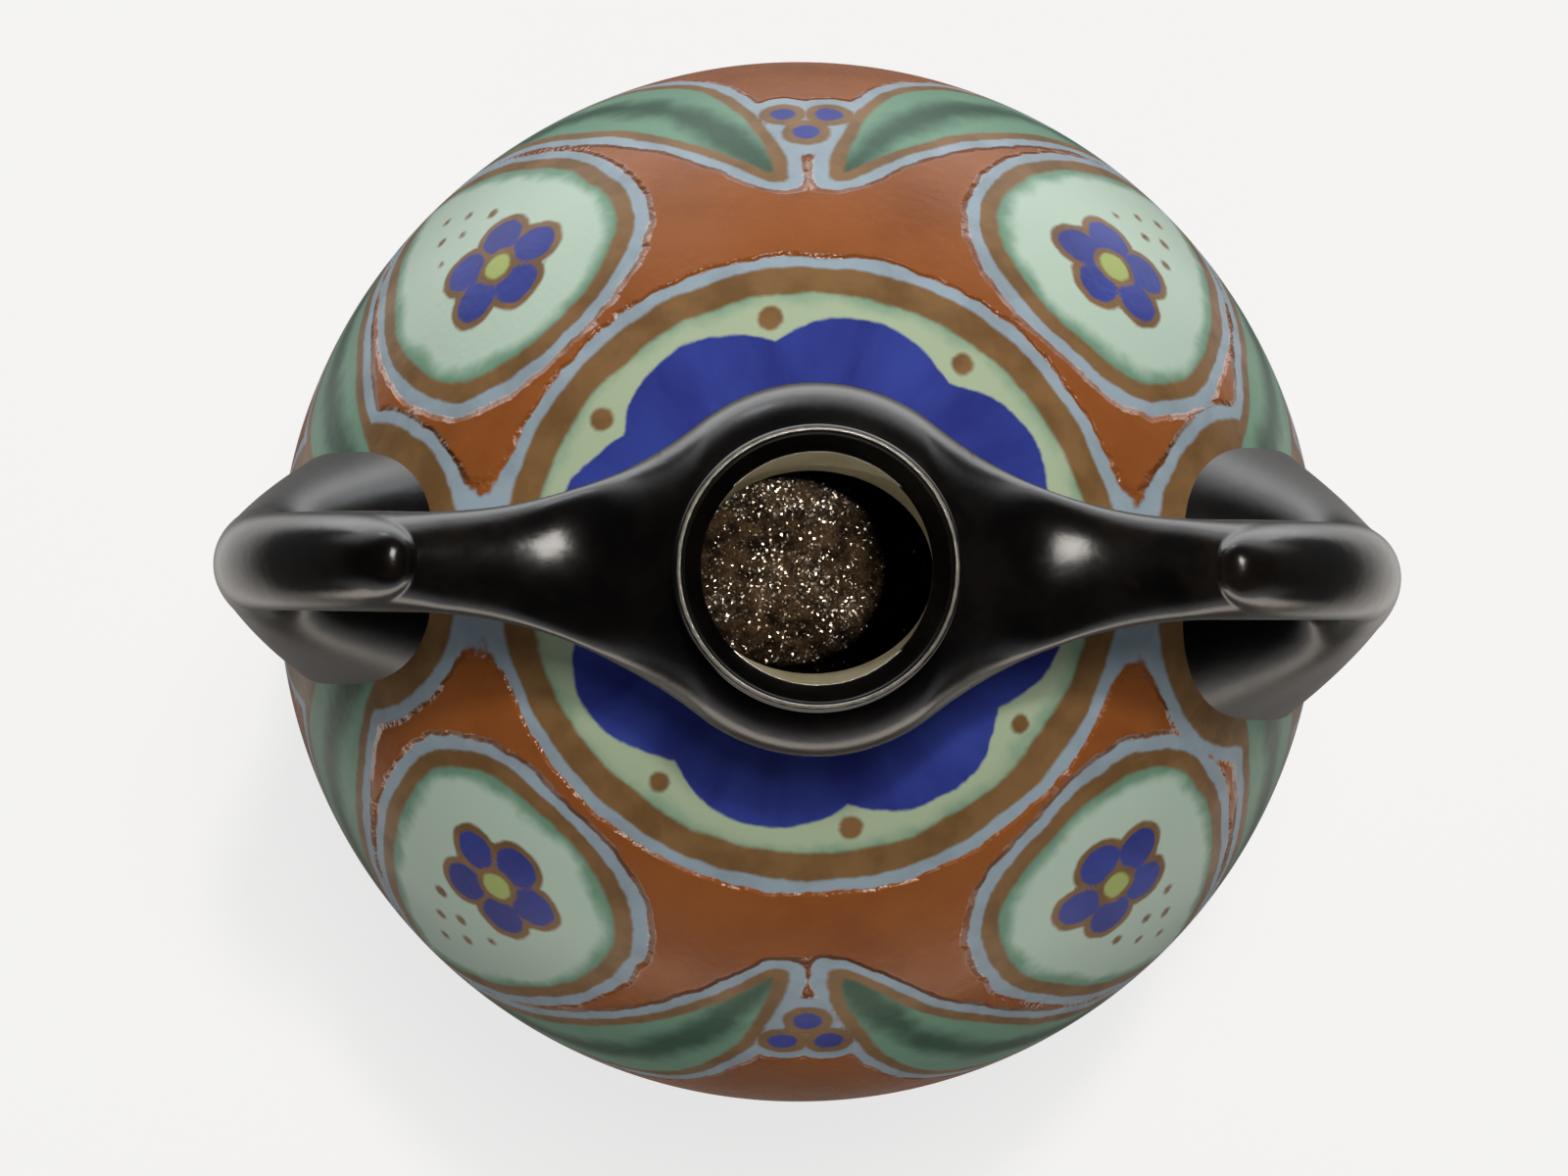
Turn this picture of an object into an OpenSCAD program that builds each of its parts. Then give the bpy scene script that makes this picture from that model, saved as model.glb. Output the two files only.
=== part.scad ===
// Two-handled ceramic vase: a globular body on a turned foot ring, with a
// collared neck, a raised lip and two strap handles that rise to a knuckle.
// Millimetres, +Z up, origin on the table at the centre of the foot.
// The handles stand along X, the left one towards -X.

/* [Body] */
// Widest radius of the body
body_r = 70; // [62:1:80]
// Height of the widest level above the table
belly_z = 72; // [64:1:84]
// Thickness of the body's wall
wall = 5; // [3.5:0.5:7]
// Thickness of the floor inside the foot
floor_t = 6; // [4:0.5:9]
// Radius of the flat base that sits on the foot ring
base_r = 38; // [34:1:44]

/* [Foot ring] */
// Height of the foot ring
foot_h = 5; // [3:0.5:8]
// Width of the foot ring, from inside to outside
foot_w = 7; // [5:0.5:9]
// Rounding of the ring's lower edges
foot_edge = 1.4; // [0.6:0.2:2]

/* [Neck] */
// Radius of the flat seat on top of the body
seat_r = 20.5; // [19:0.5:23]
// Radius of the round opening under the neck
opening_r = 15; // [13:0.5:17]
// Outside radius of the neck's stem
stem_r = 17; // [16:0.5:17]
// Height of the neck from its seat to the lip
neck_h = 21; // [18:0.5:26]
// Outside radius of the collar
collar_r = 20.8; // [20:0.1:23]
// Radius of the collar's rounded edge, seen in section
collar_round = 6; // [5:0.5:7]
// Half the throat's width across the handles
throat_y = 11.4; // [9.5:0.1:12.4]
// Half the throat's length along the handles
throat_x = 14.2; // [13.6:0.1:14.8]
// Radius of the round mouth that narrows into the throat
mouth_r = 13.1; // [12.8:0.1:13.5]
// Depth over which the mouth narrows
mouth_h = 14; // [10:0.5:17]

/* [Lip] */
// Radius of the lip's crest
lip_r = 15; // [14.6:0.1:15.4]
// Radius of the lip's crest, seen in section
lip_round = 0.6; // [0.4:0.1:0.9]
// Radius of the hollow at the lip's outer foot, seen in section
lip_hollow = 1.2; // [0.8:0.1:1.6]
// Height of the lip above the collar
lip_h = 3.4; // [2.6:0.1:5]

/* [Handles] */
// Distance from the axis to the joint between neck and handle
joint_x = 17.4; // [17.2:0.1:18]
// Width of the strap
strap_w = 11.2; // [9:0.2:14]
// Thickness of the strap at its saddle
strap_t = 8; // [7:0.5:10]
// Distance from the axis at which the strap has narrowed to its width
eye_end = 41; // [36:1:43]
// Distance from the axis to the lowest point of the saddle
saddle_x = 28; // [26.5:0.5:31]
// Depth of the saddle below the lip
saddle_drop = 9; // [7.5:0.5:10.5]
// Distance from the axis to the knuckle
knuckle_x = 46.5; // [44:0.5:50]
// Depth of the knuckle's crest below the lip
knuckle_drop = 3.2; // [2:0.2:5]
// Height of the knuckle's nose above the strap that it lies on
nose_step = 1.9; // [1:0.1:2.4]
// Radius of the nose, seen from the side
nose_round = 2.6; // [2.4:0.1:4]
// Length from the nose to where the knuckle takes the strap's whole width
nose_l = 10; // [8:0.5:12]
// How far the handle stands out past the body
overhang = 1.3; // [0:0.1:4]
// Depth of the handle's widest point below the lip
reach_drop = 42; // [36:1:48]
// Thickness of the loop at its widest point
loop_t = 11.5; // [9:0.5:14]
// Width that the handle flares to under the skin of the body
flare_w = 45; // [38:1:50]
// Slip joint between a handle's flared foot and the body
luting_gap = 0.3; // [0.2:0.05:0.5]

/* [Hidden] */
$fn = 128;

black = "#1c1a19";
rust = "#96501f";
clay = "#c9b68e";

// Levels, worked up from the table.
base_z = foot_h;
seat_z = belly_z + sqrt(body_r ^ 2 - seat_r ^ 2);
collar_z = seat_z + neck_h;
top_z = collar_z + lip_h;

// The lower body is one arc, upright at the belly, that ends on the base.
lower_r = ((body_r - base_r) ^ 2 + (belly_z - base_z) ^ 2) / (2 * (body_r - base_r));

// The collar's edge is a ring of round section that stands out past the stem.
edge_x = collar_r - collar_round;
edge_z = collar_z - collar_round;

// In plan the collar and the straps make an eye: a fillet leaves the collar at
// the joint and runs into the strap's straight side.
strap_half = strap_w / 2;
root_half = sqrt(collar_r ^ 2 - joint_x ^ 2);
eye_run = eye_end - joint_x;
eye_fall = root_half - strap_half;
eye_fillet = (eye_run ^ 2 + eye_fall ^ 2) / (2 * eye_fall);

// At the joint the collar's round edge stands this far above and below its middle.
root_rise = sqrt(collar_round ^ 2 - (joint_x - edge_x) ^ 2);

// Points that the handle's upper line passes through.
root_top = [joint_x, edge_z + root_rise];
saddle = [saddle_x, top_z - saddle_drop];
knuckle = [knuckle_x, top_z - knuckle_drop];
reach = [body_r + overhang, top_z - reach_drop];

// Points that its lower line passes through.
root_under = [joint_x, edge_z - root_rise];
strap_under = saddle - [0, strap_t];
arch = [knuckle_x, strap_under[1]];
inner_rise = 9;
inner_bend = reach + [-loop_t, inner_rise];

// The flare ends under the body's skin, so that the body trims it.
toe_angle = 85;
toe_sink = 2;
heel_angle = 34;
heel_sink = 5;
flare_from = 2.85;
flare_power = 1.2;
flare_low = under_skin(toe_angle, toe_sink);
flare_high = under_skin(heel_angle, heel_sink);

// The strap rises at an even slope from just past the saddle to the nose.
nose_x = knuckle_x - nose_round;
saddle_run = 3;
rise_from = saddle_x + saddle_run;
rise_soft = 2.2;
rise_slope = (saddle_drop - knuckle_drop - nose_step) / (nose_x - rise_from);

// How blunt the nose is in plan, its least share of the width, and how tight
// the crease round it is.
nose_blunt = 3;
nose_least = 0.001;
crease_power = 16;

// Stations along the handle at which its lines pass the saddle and the knuckle.
saddle_t = 1;
knuckle_t = 2;

// How strongly the lines leave and reach these points.
root_pull = [4, -2];
saddle_pull = [6, 0];
rise_pull = [12, 0];
knuckle_pull = [2, 0];
over_pull = [7, 0];
loop_pull = [0, -21];
inner_pull = [0, -9];
flare_pull = [0, -14];
flare_lean = [-0.5, -14];
heel_lean = [-9, -1];

// Loft resolution, and the extra length of a cut that runs right through.
ring_sides = 40;
curve_steps = [8, 22, 10, 9];
cut_margin = 1;

// How far the mouth's cone narrows past the throat, so that the two cross cleanly.
mouth_bite = 0.4;

// A point at a polar angle from the top of the body, some depth under its skin.
function under_skin(angle, depth) =
    [0, belly_z] + (body_r - depth) * [sin(angle), cos(angle)];

// A cubic curve between two points, with the pull it leaves and arrives with.
function curve(start, leave, end, arrive) = [start, start + leave, end - arrive, end];

// A point on a chain of curves; the whole part of t names the curve.
function along(curves, t) =
    let (
        i = min(floor(t), len(curves) - 1),
        p = curves[i],
        u = t - i,
        v = 1 - u
    )
    v ^ 3 * p[0] + 3 * v ^ 2 * u * p[1] + 3 * v * u ^ 2 * p[2] + u ^ 3 * p[3];

// Upper line: out of the collar, down to the saddle, up over the knuckle,
// down the outside of the loop and into the body.
upper_line = [
    curve(root_top, root_pull, saddle, saddle_pull),
    curve(saddle, rise_pull, knuckle, knuckle_pull),
    curve(knuckle, over_pull, reach, loop_pull),
    curve(reach, flare_pull, flare_low, flare_lean),
];

// Lower line: under the strap, round the finger gap and out along the shoulder.
lower_line = [
    curve(root_under, root_pull, strap_under, saddle_pull),
    curve(strap_under, rise_pull, arch, knuckle_pull),
    curve(arch, over_pull, inner_bend, inner_pull),
    curve(inner_bend, inner_pull, flare_high, heel_lean),
];

// Half the handle's width: the eye's fillet, then the strap, then the flare.
function half_width(x, t) =
    t > flare_from ? strap_half + (flare_w / 2 - strap_half)
        * ((t - flare_from) / (len(upper_line) - flare_from)) ^ flare_power
    : x < eye_end ? strap_half + eye_fillet - sqrt(eye_fillet ^ 2 - (eye_end - x) ^ 2)
    : strap_half;

// How far the strap has risen at a distance from the axis: level at first, then even.
function rise(x) =
    rise_slope * (x - rise_from + norm([x - rise_from, rise_soft])) / 2;

// Height of the strap's upper face past the saddle.
function strap_z(x) = saddle[1] + rise(x) - rise(saddle_x);

// Height of a half circle over its own middle, 0 past its ends.
function dome(u) = sqrt(max(1 - u ^ 2, 0));

// Height of the knuckle, which lies on the strap like a tongue; none before its nose.
function knuckle_z(x) =
    x < nose_x ? 0 : knuckle[1] - nose_round * (1 - dome(max(knuckle_x - x, 0) / nose_round));

// Share of the strap's width that the knuckle takes, from none at its nose.
function knuckle_share(x) =
    let (u = min(max(1 - (x - nose_x) / nose_l, 0), 1))
    max((1 - u ^ nose_blunt) ^ (1 / nose_blunt), nose_least);

// The larger of two heights, with a narrow fillet in the crease between them.
function merged(a, b) = (a ^ crease_power + b ^ crease_power) ^ (1 / crease_power);

// One ring of the handle: an ellipse spanned between the two lines. From the saddle
// on, its upper half is the strap and the knuckle, each with its own share of the height.
function ring(t) =
    let (
        high = along(upper_line, t),
        low = along(lower_line, t),
        middle = (high + low) / 2,
        half = (high - low) / 2,
        width = half_width(middle[0], t),
        x = min(high[0], knuckle_x),
        level = t < knuckle_t ? middle[1] : (knuckle[1] + arch[1]) / 2,
        span = t < knuckle_t ? half[1] : (knuckle[1] - arch[1]) / 2,
        strap = t < saddle_t ? 1 : (strap_z(x) - level) / span,
        tongue = max((knuckle_z(x) - level) / span, 0)
    )
    [for (k = [0 : ring_sides - 1])
        let (
            a = 360 * k / ring_sides,
            nose = tongue * dome(sin(a) / knuckle_share(high[0])),
            up = cos(a) > 0 ? merged(strap * cos(a), nose) : cos(a)
        )
        [middle[0] + half[0] * up, width * sin(a), middle[1] + half[1] * up]];

// Half of the body's section, drawn a given distance inside its outer face.
module body_section(inset, bottom_z) {
    intersection() {
        union() {
            intersection() {
                translate([0, belly_z]) circle(body_r - inset);
                translate([0, belly_z]) square([body_r, body_r]);
            }
            intersection() {
                translate([body_r - lower_r, belly_z]) circle(lower_r - inset);
                square([body_r, belly_z]);
            }
        }
        translate([0, bottom_z]) square([body_r, seat_z - bottom_z]);
    }
}

// The part of the body's wall that lies between two levels.
module body_wall(low_z, high_z) {
    rotate_extrude()
    intersection() {
        difference() {
            body_section(0, base_z);
            body_section(wall, base_z + floor_t);
            translate([0, belly_z]) square([opening_r, body_r]);
        }
        translate([0, low_z]) square([body_r, high_z - low_z]);
    }
}

// The body is two bowls, joined rim to rim at the belly.
module body_lower() { color(rust) body_wall(base_z, belly_z); }
module body_upper() { color(rust) body_wall(belly_z, seat_z); }

module foot_ring() {
    color(clay)
    rotate_extrude()
    translate([base_r - foot_w, 0])
    union() {
        translate([0, foot_edge]) square([foot_w, foot_h - foot_edge]);
        translate([foot_edge, 0]) square([foot_w - 2 * foot_edge, foot_edge]);
        for (x = [foot_edge, foot_w - foot_edge])
            translate([x, foot_edge]) circle(foot_edge);
    }
}

// Half of the neck's section: a flared foot, the stem and the rounded collar.
module neck_section() {
    foot_fillet = seat_r - stem_r;
    difference() {
        translate([0, seat_z]) square([seat_r, foot_fillet]);
        translate([seat_r, seat_z + foot_fillet]) circle(foot_fillet);
    }
    translate([0, seat_z]) square([stem_r, edge_z - seat_z]);
    translate([edge_x, edge_z]) circle(collar_round);
    translate([0, seat_z]) square([edge_x, neck_h]);
}

// Radius of the mouth at a depth below the collar's top.
function mouth_at(depth) = mouth_r - (mouth_r - throat_y + mouth_bite) * depth / mouth_h;

module neck() {
    color(black)
    difference() {
        rotate_extrude() neck_section();
        // The throat is oval, longer towards the handles.
        translate([0, 0, seat_z - cut_margin])
        linear_extrude(neck_h + 2 * cut_margin)
        scale([throat_x / throat_y, 1]) circle(throat_y);
        // The round mouth, a cone that runs into the throat's narrow sides.
        translate([0, 0, collar_z - mouth_h])
        cylinder(h = mouth_h + cut_margin, r1 = mouth_at(mouth_h), r2 = mouth_at(-cut_margin));
        // Flats that the straps butt against.
        for (side = [0, 1]) mirror([side, 0, 0])
            translate([joint_x, -collar_r, edge_z - collar_round])
            cube([collar_r, 2 * collar_r, 2 * collar_round + cut_margin]);
    }
}

// The lip slopes into the mouth, and its outer wall ends in a hollow at the collar.
module lip_ring() {
    wall_r = lip_r + lip_round;
    crest_z = top_z - lip_round;
    color(black)
    rotate_extrude()
    union() {
        translate([lip_r, crest_z]) circle(lip_round);
        polygon([[mouth_r, collar_z], [wall_r, collar_z], [wall_r, crest_z], [lip_r - lip_round, crest_z]]);
        difference() {
            translate([wall_r, collar_z]) square(lip_hollow);
            translate([wall_r + lip_hollow, collar_z + lip_hollow]) circle(lip_hollow);
        }
    }
}

module handle() {
    curves = len(curve_steps);
    steps = [for (i = [0 : curves - 1], k = [0 : curve_steps[i] - 1]) i + k / curve_steps[i]];
    stations = concat(steps, [curves]);
    last = len(stations) - 1;
    points = [for (t = stations) each ring(t)];
    function at(i, k) = i * ring_sides + k % ring_sides;
    start_cap = [for (k = [0 : ring_sides - 1]) at(0, k)];
    end_cap = [for (k = [ring_sides - 1 : -1 : 0]) at(last, k)];
    sides = [for (i = [0 : last - 1], k = [0 : ring_sides - 1]) each [
        [at(i, k), at(i + 1, k), at(i + 1, k + 1)],
        [at(i, k), at(i + 1, k + 1), at(i, k + 1)]]];
    color(black)
    difference() {
        polyhedron(points, concat([start_cap], sides, [end_cap]));
        translate([0, 0, belly_z]) sphere(body_r + luting_gap);
    }
}

module handle_right() { handle(); }
module handle_left() { mirror([1, 0, 0]) handle(); }

body_lower();
body_upper();
foot_ring();
neck();
lip_ring();
handle_left();
handle_right();
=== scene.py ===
import math

import bmesh
import bpy
import numpy as np
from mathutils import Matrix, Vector


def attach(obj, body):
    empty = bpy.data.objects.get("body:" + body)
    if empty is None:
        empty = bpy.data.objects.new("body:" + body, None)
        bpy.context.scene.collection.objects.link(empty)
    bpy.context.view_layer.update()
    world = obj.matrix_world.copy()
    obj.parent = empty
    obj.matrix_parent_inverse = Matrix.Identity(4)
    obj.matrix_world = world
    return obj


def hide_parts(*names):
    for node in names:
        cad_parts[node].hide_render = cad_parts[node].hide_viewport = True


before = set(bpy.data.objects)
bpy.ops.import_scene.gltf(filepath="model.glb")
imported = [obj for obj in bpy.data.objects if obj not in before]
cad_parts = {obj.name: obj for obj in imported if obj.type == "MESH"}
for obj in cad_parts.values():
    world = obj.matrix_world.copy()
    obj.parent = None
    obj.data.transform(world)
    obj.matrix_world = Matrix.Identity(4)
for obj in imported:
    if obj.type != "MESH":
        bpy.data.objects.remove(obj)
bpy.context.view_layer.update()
mm = 0.001
print("frame loaded, CAD nodes:", sorted(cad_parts))


# Small helpers shared by the pieces

def smooth(x):
    x = np.clip(x, 0, 1)
    return x * x * (3 - 2 * x)


def smoother(x):
    # like smooth, but without a jump in curvature at its ends
    x = np.clip(x, 0, 1)
    return x ** 3 * (10 - 15 * x + 6 * x * x)


def linear(*rgb):
    # 0-255 screen colour to the linear values that shader sockets take
    c = np.array(rgb) / 255
    c = np.where(c <= 0.04045, c / 12.92, ((c + 0.055) / 1.055) ** 2.4)
    return (*c.tolist(), 1)


sharpFrom = math.radians(50)  # edges that turn more than this are shaded as crisp rims
weldWithin = 1e-7  # metres


def weld(mesh):
    # points that two rows share are made one
    shape = bmesh.new()
    shape.from_mesh(mesh)
    bmesh.ops.remove_doubles(shape, verts=shape.verts, dist=weldWithin)
    shape.to_mesh(mesh)
    shape.free()


def addPiece(name, grid, nodes, material, wrapRows=False, poles=(), flip=False):
    # grid holds rows of points in mm, and each row closes on itself
    # wrapRows joins the last row to the first, poles close the first or the last row with a fan
    rows, cols = grid.shape[:2]
    index = np.arange(rows * cols).reshape(rows, cols)
    here = index if wrapRows else index[:-1]
    there = np.roll(index, -1, 0) if wrapRows else index[1:]
    quads = np.stack([here, np.roll(here, -1, 1), np.roll(there, -1, 1), there], -1).reshape(-1, 4)
    points = [grid.reshape(-1, 3)]
    faces = [quads[:, ::-1] if flip else quads]
    for number, (row, point) in enumerate(poles):
        tip = np.full(cols, rows * cols + number)
        edge = index[row]
        fan = np.stack([edge, np.roll(edge, -1), tip], -1)
        points.append(np.array([point]))
        faces.append(fan[:, ::-1] if (row == 0) != flip else fan)
    mesh = bpy.data.meshes.new(name)
    mesh.from_pydata((np.concatenate(points) * mm).tolist(), [], sum((f.tolist() for f in faces), []))
    mesh.update()
    weld(mesh)
    mesh.shade_smooth()
    mesh.set_sharp_from_angle(angle=sharpFrom)
    piece = bpy.data.objects.new(name, mesh)
    bpy.context.scene.collection.objects.link(piece)
    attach(piece, "root")
    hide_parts(*nodes)
    mesh.materials.append(material)
    print(name, "made,", len(mesh.vertices), "points")
    return piece


def setField(piece, name, values):
    layer = piece.data.attributes.new(name, "FLOAT", "POINT")
    layer.data.foreach_set("value", np.ascontiguousarray(values, np.float32).ravel())


def turned(profile, cols):
    # a profile of (radius, height) turned about Z: x = r cos a, y = r sin a
    angle = np.linspace(0, 2 * math.pi, cols, endpoint=False)
    r, z = profile[:, 0, None], profile[:, 1, None]
    return np.stack([r * np.cos(angle), r * np.sin(angle), z + 0 * angle], -1)


# Material helpers

def newMaterial(name, specular, roughness=0.3):
    # a glaze that links its own roughness leaves the value as it is
    material = bpy.data.materials.new(name)
    material.use_nodes = True
    tree = material.node_tree
    shader = tree.nodes["Principled BSDF"]
    shader.inputs["Roughness"].default_value = roughness
    shader.inputs["Specular IOR Level"].default_value = specular
    return material, tree, shader


def addNode(tree, kind, inputs=(), **settings):
    made = tree.nodes.new(kind)
    for key, value in settings.items():
        setattr(made, key, value)
    for key, value in dict(inputs).items():
        if hasattr(value, "is_output"):
            tree.links.new(value, made.inputs[key])
        else:
            made.inputs[key].default_value = value
    return made


def math2(tree, operation, a, b=0.0):
    return addNode(tree, "ShaderNodeMath", {0: a, 1: b}, operation=operation).outputs[0]


def ramp(tree, value, low, high, toLow=0.0, toHigh=1.0):
    found = addNode(tree, "ShaderNodeMapRange", {0: value, 1: low, 2: high, 3: toLow, 4: toHigh},
                    interpolation_type="SMOOTHSTEP")
    return found.outputs[0]


def mixColor(tree, share, a, b):
    found = addNode(tree, "ShaderNodeMix", {0: share, 6: a, 7: b}, data_type="RGBA")
    return found.outputs[2]


def swing(tree, value, by):
    # noise that runs from 0 to 1, made to swing about 0
    return math2(tree, "MULTIPLY", math2(tree, "SUBTRACT", value, 0.5), by)


def vector2(tree, operation, a, b=(0, 0, 0)):
    return addNode(tree, "ShaderNodeVectorMath", {0: a, 1: b}, operation=operation).outputs[0]


def scaled(tree, vector, by):
    return addNode(tree, "ShaderNodeVectorMath", {0: vector, "Scale": by}, operation="SCALE").outputs[0]


def objectPlace(tree):
    return addNode(tree, "ShaderNodeTexCoord").outputs["Object"]


def parted(tree, vector):
    return addNode(tree, "ShaderNodeSeparateXYZ", {0: vector}).outputs


def noiseOf(tree, scale, detail=2.0, roughness=0.5):
    inputs = {"Vector": objectPlace(tree), "Scale": scale, "Detail": detail, "Roughness": roughness}
    return addNode(tree, "ShaderNodeTexNoise", inputs).outputs["Fac"]


def field(tree, name):
    return addNode(tree, "ShaderNodeAttribute", attribute_name=name).outputs["Fac"]


# Body: a sphere above the belly, one wider arc below it, closed by a flat base

body = {"radius": 69.99, "bellyZ": 72, "baseR": 38, "baseZ": 5, "wall": 5, "floor": 6,
        "seatR": 20.5, "openR": 15, "hubR": 6,
        "cols": 600, "upperRows": 112, "lowerRows": 38, "seatRows": 4, "baseRows": 5}
lowerR = ((body["radius"] - body["baseR"]) ** 2 + (body["bellyZ"] - body["baseZ"]) ** 2) / (
    2 * (body["radius"] - body["baseR"]))
seatAngle = math.asin(body["seatR"] / body["radius"])
seatZ = body["bellyZ"] + body["radius"] * math.cos(seatAngle)
lowerAngle = math.asin((body["bellyZ"] - body["baseZ"]) / lowerR)


def bodyArcs(inset, topAngle, bottomAngle, upperRows, lowerRows):
    # two arcs: r = R sin a, z = belly + R cos a from the top to the belly, then the lower arc's own angle
    top = np.linspace(topAngle, math.pi / 2, upperRows)
    low = np.linspace(0, bottomAngle, lowerRows + 1)[1:]
    upperR, lowR = body["radius"] - inset, lowerR - inset
    upper = np.stack([upperR * np.sin(top), body["bellyZ"] + upperR * np.cos(top)], -1)
    lower = np.stack([body["radius"] - lowerR + lowR * np.cos(low), body["bellyZ"] - lowR * np.sin(low)], -1)
    return np.concatenate([upper, lower])


def flatRows(r0, r1, z, count):
    # level rows at one height, from one radius to another
    r = np.linspace(r0, r1, count)
    return np.stack([r, 0 * r + z], -1)


# Handles and collar: sizes shared by the neck and both handles

collar = {"radius": 20.8, "round": 6, "slope": 8, "z": seatZ + 21, "stemR": 17,
          "throatX": 14.05, "throatY": 11.75}
lip = {"radius": 15, "round": 0.6, "foot": 16, "height": 3.4, "sunk": 1.7,
       "hollowRows": 14, "crestRows": 17, "cols": 240}
mouth = {"radius": 12.75, "depth": 14, "bite": 0.4}
topZ = collar["z"] + lip["height"]
edgeZ = collar["z"] - collar["round"]
strap = {"half": 5.6, "thick": 8, "eyeEnd": 44.3, "jointX": 17.4, "saddleX": 28, "saddleZ": topZ - 9,
         "fallFrom": 12, "fallEnd": 31, "fallPower": 0.65, "riseFrom": 30.8, "riseSlope": 0.32, "riseSoft": 4,
         "edgeLift": 1.3}
knuckle = {"x": 46.5, "z": topZ - 3.2, "noseRun": 2.6, "noseDrop": 2.6, "runUp": 4, "shoulderX": 54,
           "blunt": 2.8, "square": 3, "crease": 16}
noseX = knuckle["x"] - knuckle["noseRun"]
eyeRound = (strap["eyeEnd"] ** 2 + strap["half"] ** 2 - collar["radius"] ** 2) / (
    2 * (collar["radius"] - strap["half"]))


def eyeInset(x, y):
    # distance inside the eye-shaped plan: a circle round the collar, a fillet, then the strap's side
    x, y = np.abs(x), np.abs(y)
    cx, cy = strap["eyeEnd"], strap["half"] + eyeRound
    circle = collar["radius"] - np.hypot(x, y)
    fillet = np.hypot(np.maximum(cx - x, 0), cy - y) - eyeRound
    return np.where(cx * y > cy * x, circle, fillet)


def eyeHalf(x):
    # half the plan's width beyond the point where the fillet leaves the collar
    reach = np.maximum(strap["eyeEnd"] - x, 0)
    return strap["half"] + eyeRound - np.sqrt(eyeRound ** 2 - reach ** 2)


def edgeShare(inset, x):
    # 0 on the rim of the plan, rising on a quarter round to 1; the strap is round right across
    along = np.abs(x)
    onStrap = smooth((along - strap["jointX"]) / (strap["saddleX"] - strap["jointX"]))
    whole = np.maximum(eyeInset(x, 0 * x), strap["half"])
    c = collar["slope"] + (whole - collar["slope"]) * onStrap
    q = np.clip(inset / c, 0, 1)
    return np.sqrt(q * (2 - q))


def softMax(a, b, blend):
    # the larger of two heights, with the crease between them filled by a fillet
    share = np.clip(0.5 + 0.5 * (a - b) / blend, 0, 1)
    return b + (a - b) * share + blend * share * (1 - share)


def dome(u, power=2):
    # height of a half circle over its own middle, 0 past its ends; a larger power makes it squarer
    return np.clip(1 - np.abs(u) ** power, 0, 1) ** (1 / power)


def merged(a, b):
    # the larger of two heights over the rim, with a narrow fillet in the crease between them
    return (a ** knuckle["crease"] + b ** knuckle["crease"]) ** (1 / knuckle["crease"])


def tongueShare(along):
    # share of the strap's width that the loop's end takes: it narrows to a blunt nose on the strap
    u = np.clip((knuckle["shoulderX"] - along) / (knuckle["shoulderX"] - noseX), 0, 1)
    return np.maximum(dome(u, knuckle["blunt"]), 1e-6)


def tongueDome(y, along):
    # the tongue's section, flatter on top the narrower it is; y is 1 at the strap's side
    share = tongueShare(along)
    return dome(np.minimum(np.abs(y) / share, 1), 2 + knuckle["square"] * (1 - share))


def strapRise(along):
    # a hyperbola: level at the saddle, then an even slope
    back = along - strap["riseFrom"]
    return strap["riseSlope"] * (back + np.hypot(back, strap["riseSoft"])) / 2


def plateHeights(x, y):
    # heights of the plate's upper and lower face: the collar, its fall to the saddle, the strap's rise and
    # the rounded end of the loop, which lies on the strap like a tongue
    along = np.abs(x)
    out = np.clip((along - strap["fallFrom"]) / (strap["fallEnd"] - strap["fallFrom"]), 0, 1)
    fall = smoother(out ** strap["fallPower"])
    level = collar["z"] + (strap["saddleZ"] - collar["z"]) * fall
    lowest = edgeZ - collar["round"] + (strap["saddleZ"] - strap["thick"] - edgeZ + collar["round"]) * fall
    climb = knuckle["z"] - strap["saddleZ"]
    nearNose = smooth((along - strap["riseFrom"]) / (knuckle["x"] - strap["riseFrom"]))
    onStrap = smooth((along - strap["jointX"]) / (strap["saddleX"] - strap["jointX"]))
    liftEnd = noseX - knuckle["runUp"]
    beforeNose = 1 - smooth((along - liftEnd) / (knuckle["x"] - liftEnd))
    rim = (level + climb * nearNose + lowest) / 2 + strap["edgeLift"] * onStrap * beforeNose
    share = edgeShare(eyeInset(x, y), x)
    bed = (level + strapRise(along) - rim) * share
    front = np.clip((knuckle["x"] - along) / knuckle["noseRun"], 0, 1)
    crest = knuckle["z"] - knuckle["noseDrop"] * (1 - dome(front)) - rim
    tongue = np.where(along > noseX, crest * tongueDome(y / strap["half"], along), 0)
    return rim + merged(bed, tongue), rim - (rim - lowest) * share


# Painted decor, worked out as distances in mm on the body's skin

def teardrop(width, length, pull, count=90):
    # x = w sin(t) sin(t/2)^m, y = l cos(t): round towards the ring and pointed at the far end
    t = np.linspace(0, 2 * math.pi, count, endpoint=False)
    return np.stack([width * np.sin(t) * np.sin(t / 2) ** pull, length * np.cos(t)], -1)


def outlineField(u, v, outline):
    # signed distance to a closed outline, negative inside
    best = np.full(u.shape, 1e9)
    inside = np.zeros(u.shape, bool)
    for a, b in zip(outline, np.roll(outline, -1, 0)):
        d = b - a
        share = np.clip(((u - a[0]) * d[0] + (v - a[1]) * d[1]) / max(d @ d, 1e-9), 0, 1)
        best = np.minimum(best, np.hypot(u - a[0] - share * d[0], v - a[1] - share * d[1]))
        crosses = (a[1] > v) != (b[1] > v)
        inside ^= crosses & (u < a[0] + (v - a[1]) * d[0] / (d[1] if d[1] else 1))
    return np.where(inside, -best, best)


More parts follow.
